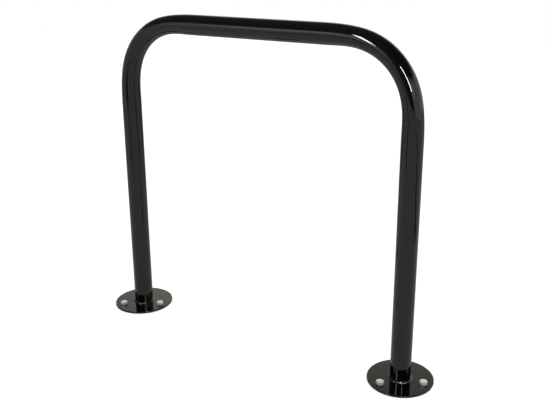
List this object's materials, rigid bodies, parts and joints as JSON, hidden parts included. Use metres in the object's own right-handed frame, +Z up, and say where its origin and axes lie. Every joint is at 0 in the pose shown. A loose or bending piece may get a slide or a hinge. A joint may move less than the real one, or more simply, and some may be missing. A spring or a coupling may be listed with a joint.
{
  "type": "bike rack",
  "caption": "Hoop bike rack bent from round steel tube, welded to round base plates that hex-head screw anchors fix to hard ground.",
  "frame": {"origin": "on the ground, midway between the two legs; the base plates stand on z = 0 and the anchors reach below it", "axes": "+X from the left leg to the right leg, +Y towards the back, +Z up"},
  "size_m": [0.977, 0.162, 0.908],
  "materials": {
    "coated_tube": "gloss black powder coat",
    "coated_plate": "gloss black powder coat",
    "coated_weld": "gloss black powder coat over a rippled weld",
    "zinc_screw": "bright zinc plate",
    "zinc_washer": "bright zinc plate"
  },
  "bodies": {
    "root": {"hoop_tube": "coated_tube", "left_base_plate": "coated_plate", "right_base_plate": "coated_plate", "left_foot_weld": "coated_weld", "right_foot_weld": "coated_weld", "left_inner_anchor_screw": "zinc_screw", "left_back_anchor_screw": "zinc_screw", "left_front_anchor_screw": "zinc_screw", "right_outer_anchor_screw": "zinc_screw", "right_back_anchor_screw": "zinc_screw", "right_front_anchor_screw": "zinc_screw", "left_inner_washer": "zinc_washer", "left_back_washer": "zinc_washer", "left_front_washer": "zinc_washer", "right_outer_washer": "zinc_washer", "right_back_washer": "zinc_washer", "right_front_washer": "zinc_washer"}
  },
  "joints": []
}
